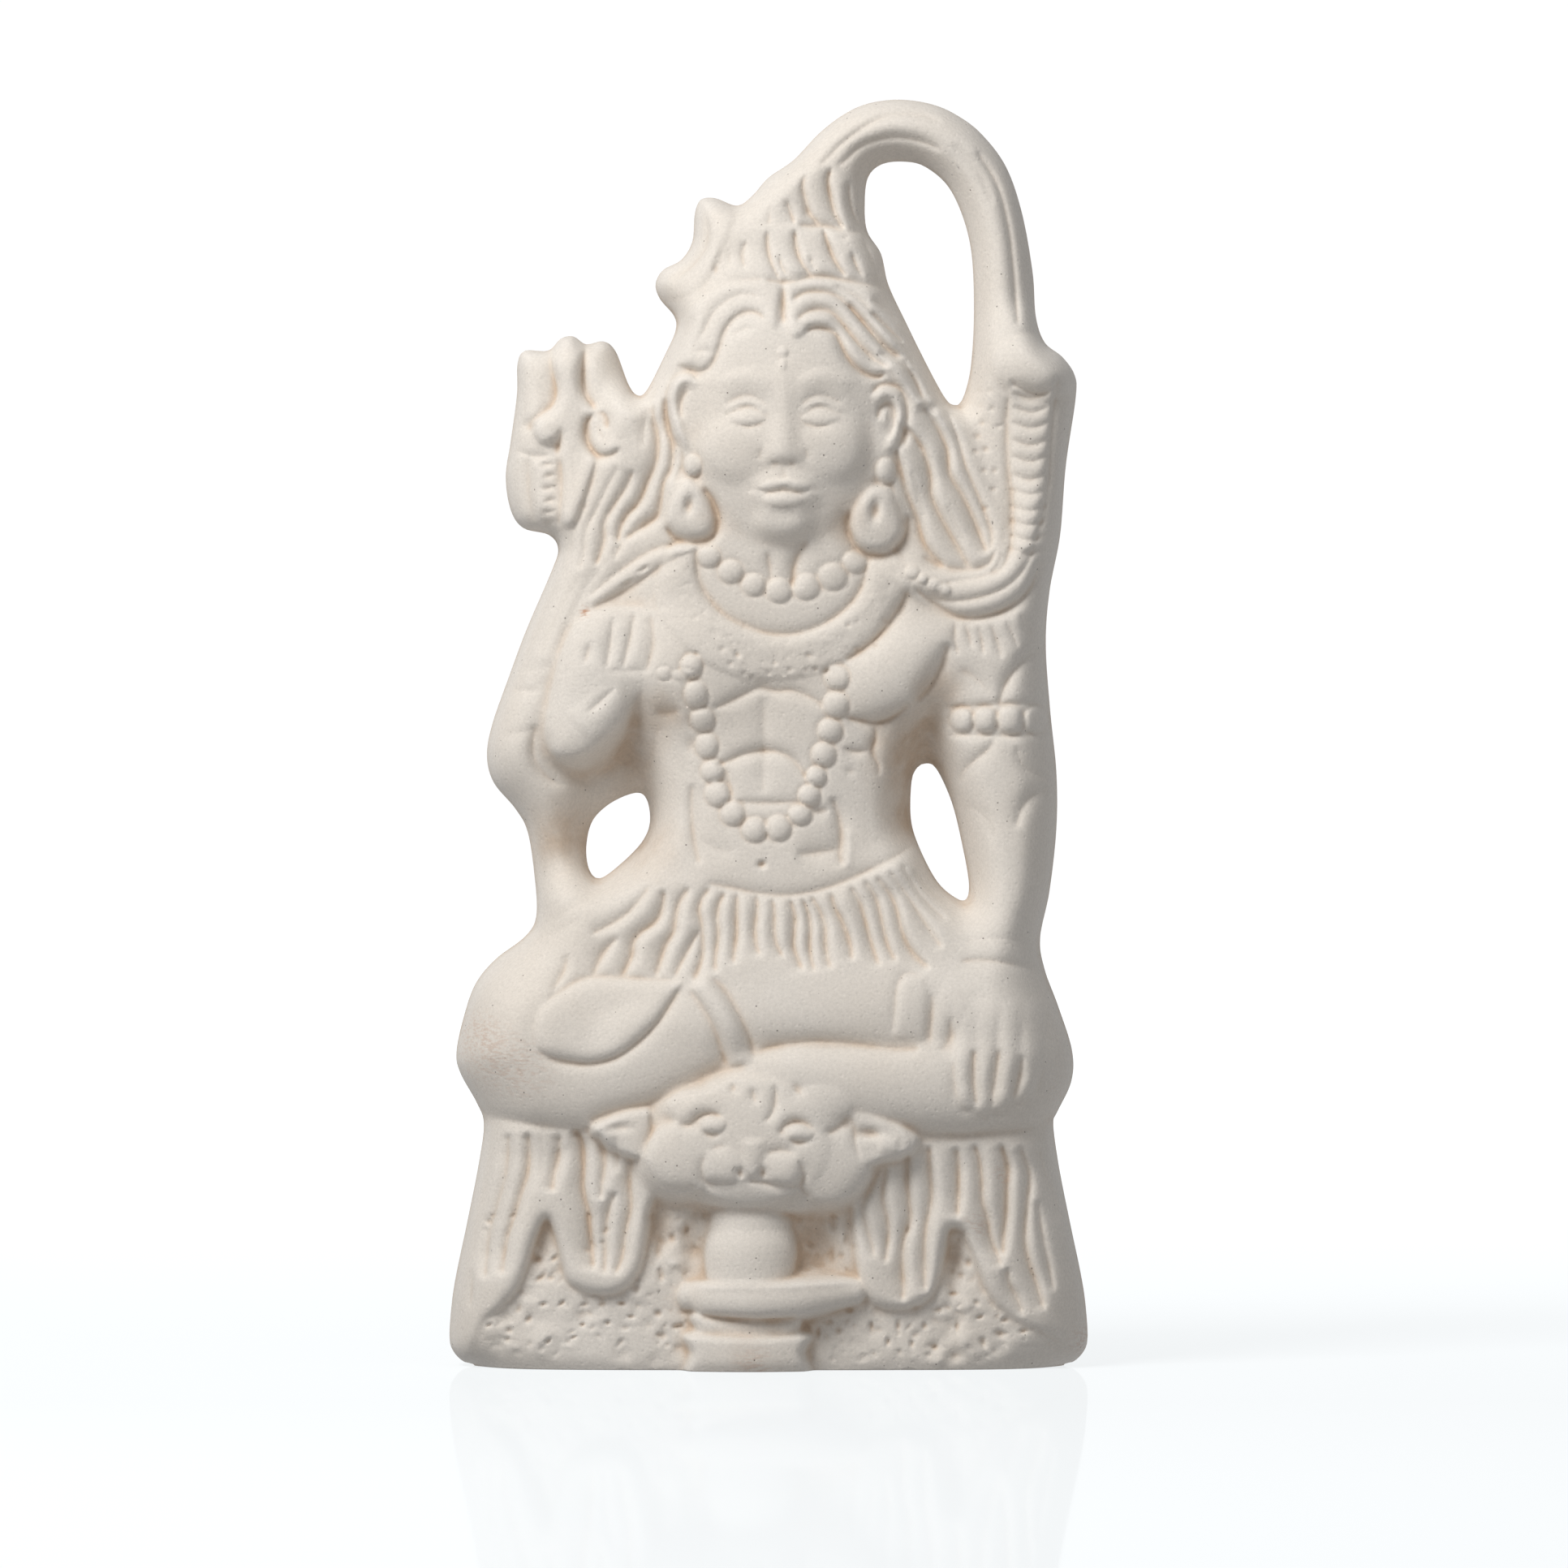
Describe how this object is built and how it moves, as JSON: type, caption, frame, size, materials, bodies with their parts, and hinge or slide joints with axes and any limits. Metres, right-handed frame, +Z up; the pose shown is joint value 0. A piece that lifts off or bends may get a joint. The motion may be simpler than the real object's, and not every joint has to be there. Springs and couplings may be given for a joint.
{
  "type": "seated deity figurine",
  "caption": "Moulded unglazed ceramic figurine of a seated Shiva on a rock draped with a hide, flat underside, stands by its own weight.",
  "frame": {"origin": "middle of the flat underside, on the mould plane", "axes": "+Z up from the floor; -Y is the way the figure looks; +X is to the right of someone looking at its front"},
  "size_m": [0.1022, 0.0415, 0.2027],
  "materials": {
    "bisque": "matt unglazed, sandy"
  },
  "bodies": {
    "root": {"shiva_figure": "bisque"}
  },
  "joints": []
}
